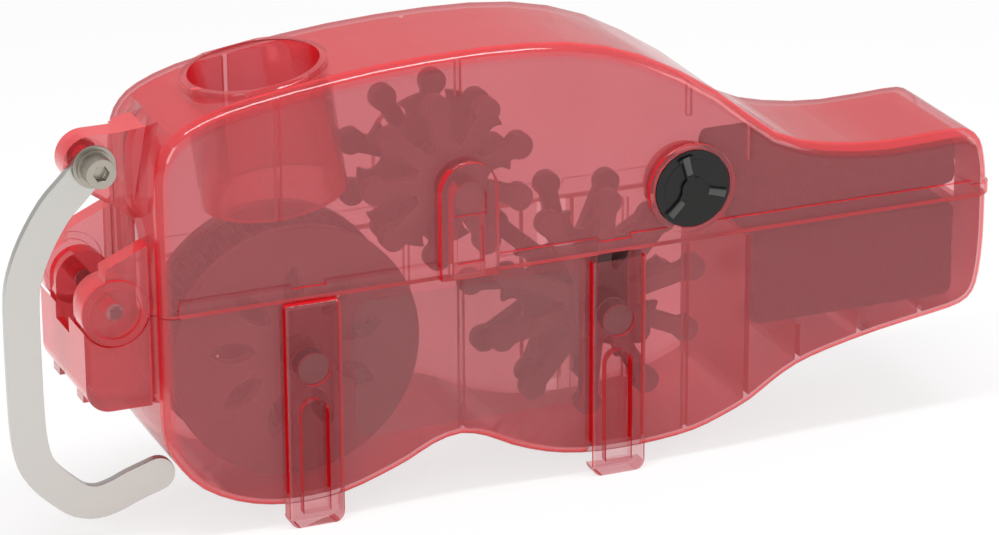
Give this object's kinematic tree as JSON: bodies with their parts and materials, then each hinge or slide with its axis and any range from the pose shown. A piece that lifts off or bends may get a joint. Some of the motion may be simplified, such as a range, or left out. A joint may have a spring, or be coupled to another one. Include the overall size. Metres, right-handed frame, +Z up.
{
  "type": "bike chain cleaner",
  "caption": "Clear case in two hinged halves with rotating scrubbing brushes, sponges, filler funnel, side plug and steel hook, for cleaning a bicycle chain.",
  "frame": {"origin": "middle of the bounding box in plan, on the ground under the four channel feet", "axes": "+X along the chain from the inlet to the grip, +Y from the front to the back wall, +Z up"},
  "size_m": [0.2931, 0.054, 0.1307],
  "materials": {
    "case": "clear red, glossy",
    "steel": "satin",
    "hook_steel": "satin sheet",
    "brush_plastic": "matt",
    "bristle": "matt",
    "sponge": "open foam",
    "black_plastic": "satin",
    "seal_rubber": "matt",
    "film": "smooth, bare"
  },
  "bodies": {
    "lower_case": {"lower_shell": "case", "hinge_pins": "steel", "lower_sponge": "sponge", "label_film": "film"},
    "upper_case": {"upper_shell": "case", "hook_screw": "steel", "hook_washers": "steel", "hook_nut": "steel", "upper_sponge": "sponge"},
    "hook": {"hook_arm": "hook_steel"},
    "left_brush": {"left_brush_axle": "steel", "left_brush_near_disc": "brush_plastic", "left_brush_far_disc": "brush_plastic", "left_brush_near_bristles": "bristle", "left_brush_far_bristles": "bristle", "left_brush_drive_wheel": "brush_plastic"},
    "right_brush": {"right_brush_axle": "steel", "right_brush_near_star": "brush_plastic", "right_brush_far_star": "brush_plastic", "right_brush_drive_wheel": "brush_plastic"},
    "upper_brush": {"upper_brush_axle": "steel", "upper_brush_near_star": "brush_plastic", "upper_brush_far_star": "brush_plastic", "upper_brush_drive_wheel": "brush_plastic"},
    "plug": {"plug_knob": "black_plastic", "plug_seal": "seal_rubber"}
  },
  "joints": [
    {"name": "case_hinge", "type": "hinge", "parent": "lower_case", "child": "upper_case", "pos_m": [-0.1185, 0, 0.0695], "axis": [0, -1, 0], "range_deg": [0, 90]},
    {"name": "hook_swing", "type": "hinge", "parent": "upper_case", "child": "hook", "pos_m": [-0.1201, -0.0095, 0.1087], "axis": [0, 1, 0], "range_deg": [0, 171]},
    {"name": "left_brush_spin", "type": "hinge", "parent": "lower_case", "child": "left_brush", "pos_m": [-0.06425, 0, 0.04675], "axis": [0, 1, 0], "continuous": true},
    {"name": "right_brush_spin", "type": "hinge", "parent": "lower_case", "child": "right_brush", "pos_m": [0.02725, 0, 0.04675], "axis": [0, 1, 0], "continuous": true},
    {"name": "upper_brush_spin", "type": "hinge", "parent": "upper_case", "child": "upper_brush", "pos_m": [-0.0178, 0, 0.09], "axis": [0, 1, 0], "continuous": true},
    {"name": "plug_turn", "type": "hinge", "parent": "upper_case", "child": "plug", "pos_m": [0.0501, -0.024, 0.0827], "axis": [0, 1, 0], "range_deg": [0, 90]}
  ],
  "couplings": [
    {"joint": "hook_swing", "follows": "case_hinge", "ratio": 1.889}
  ]
}
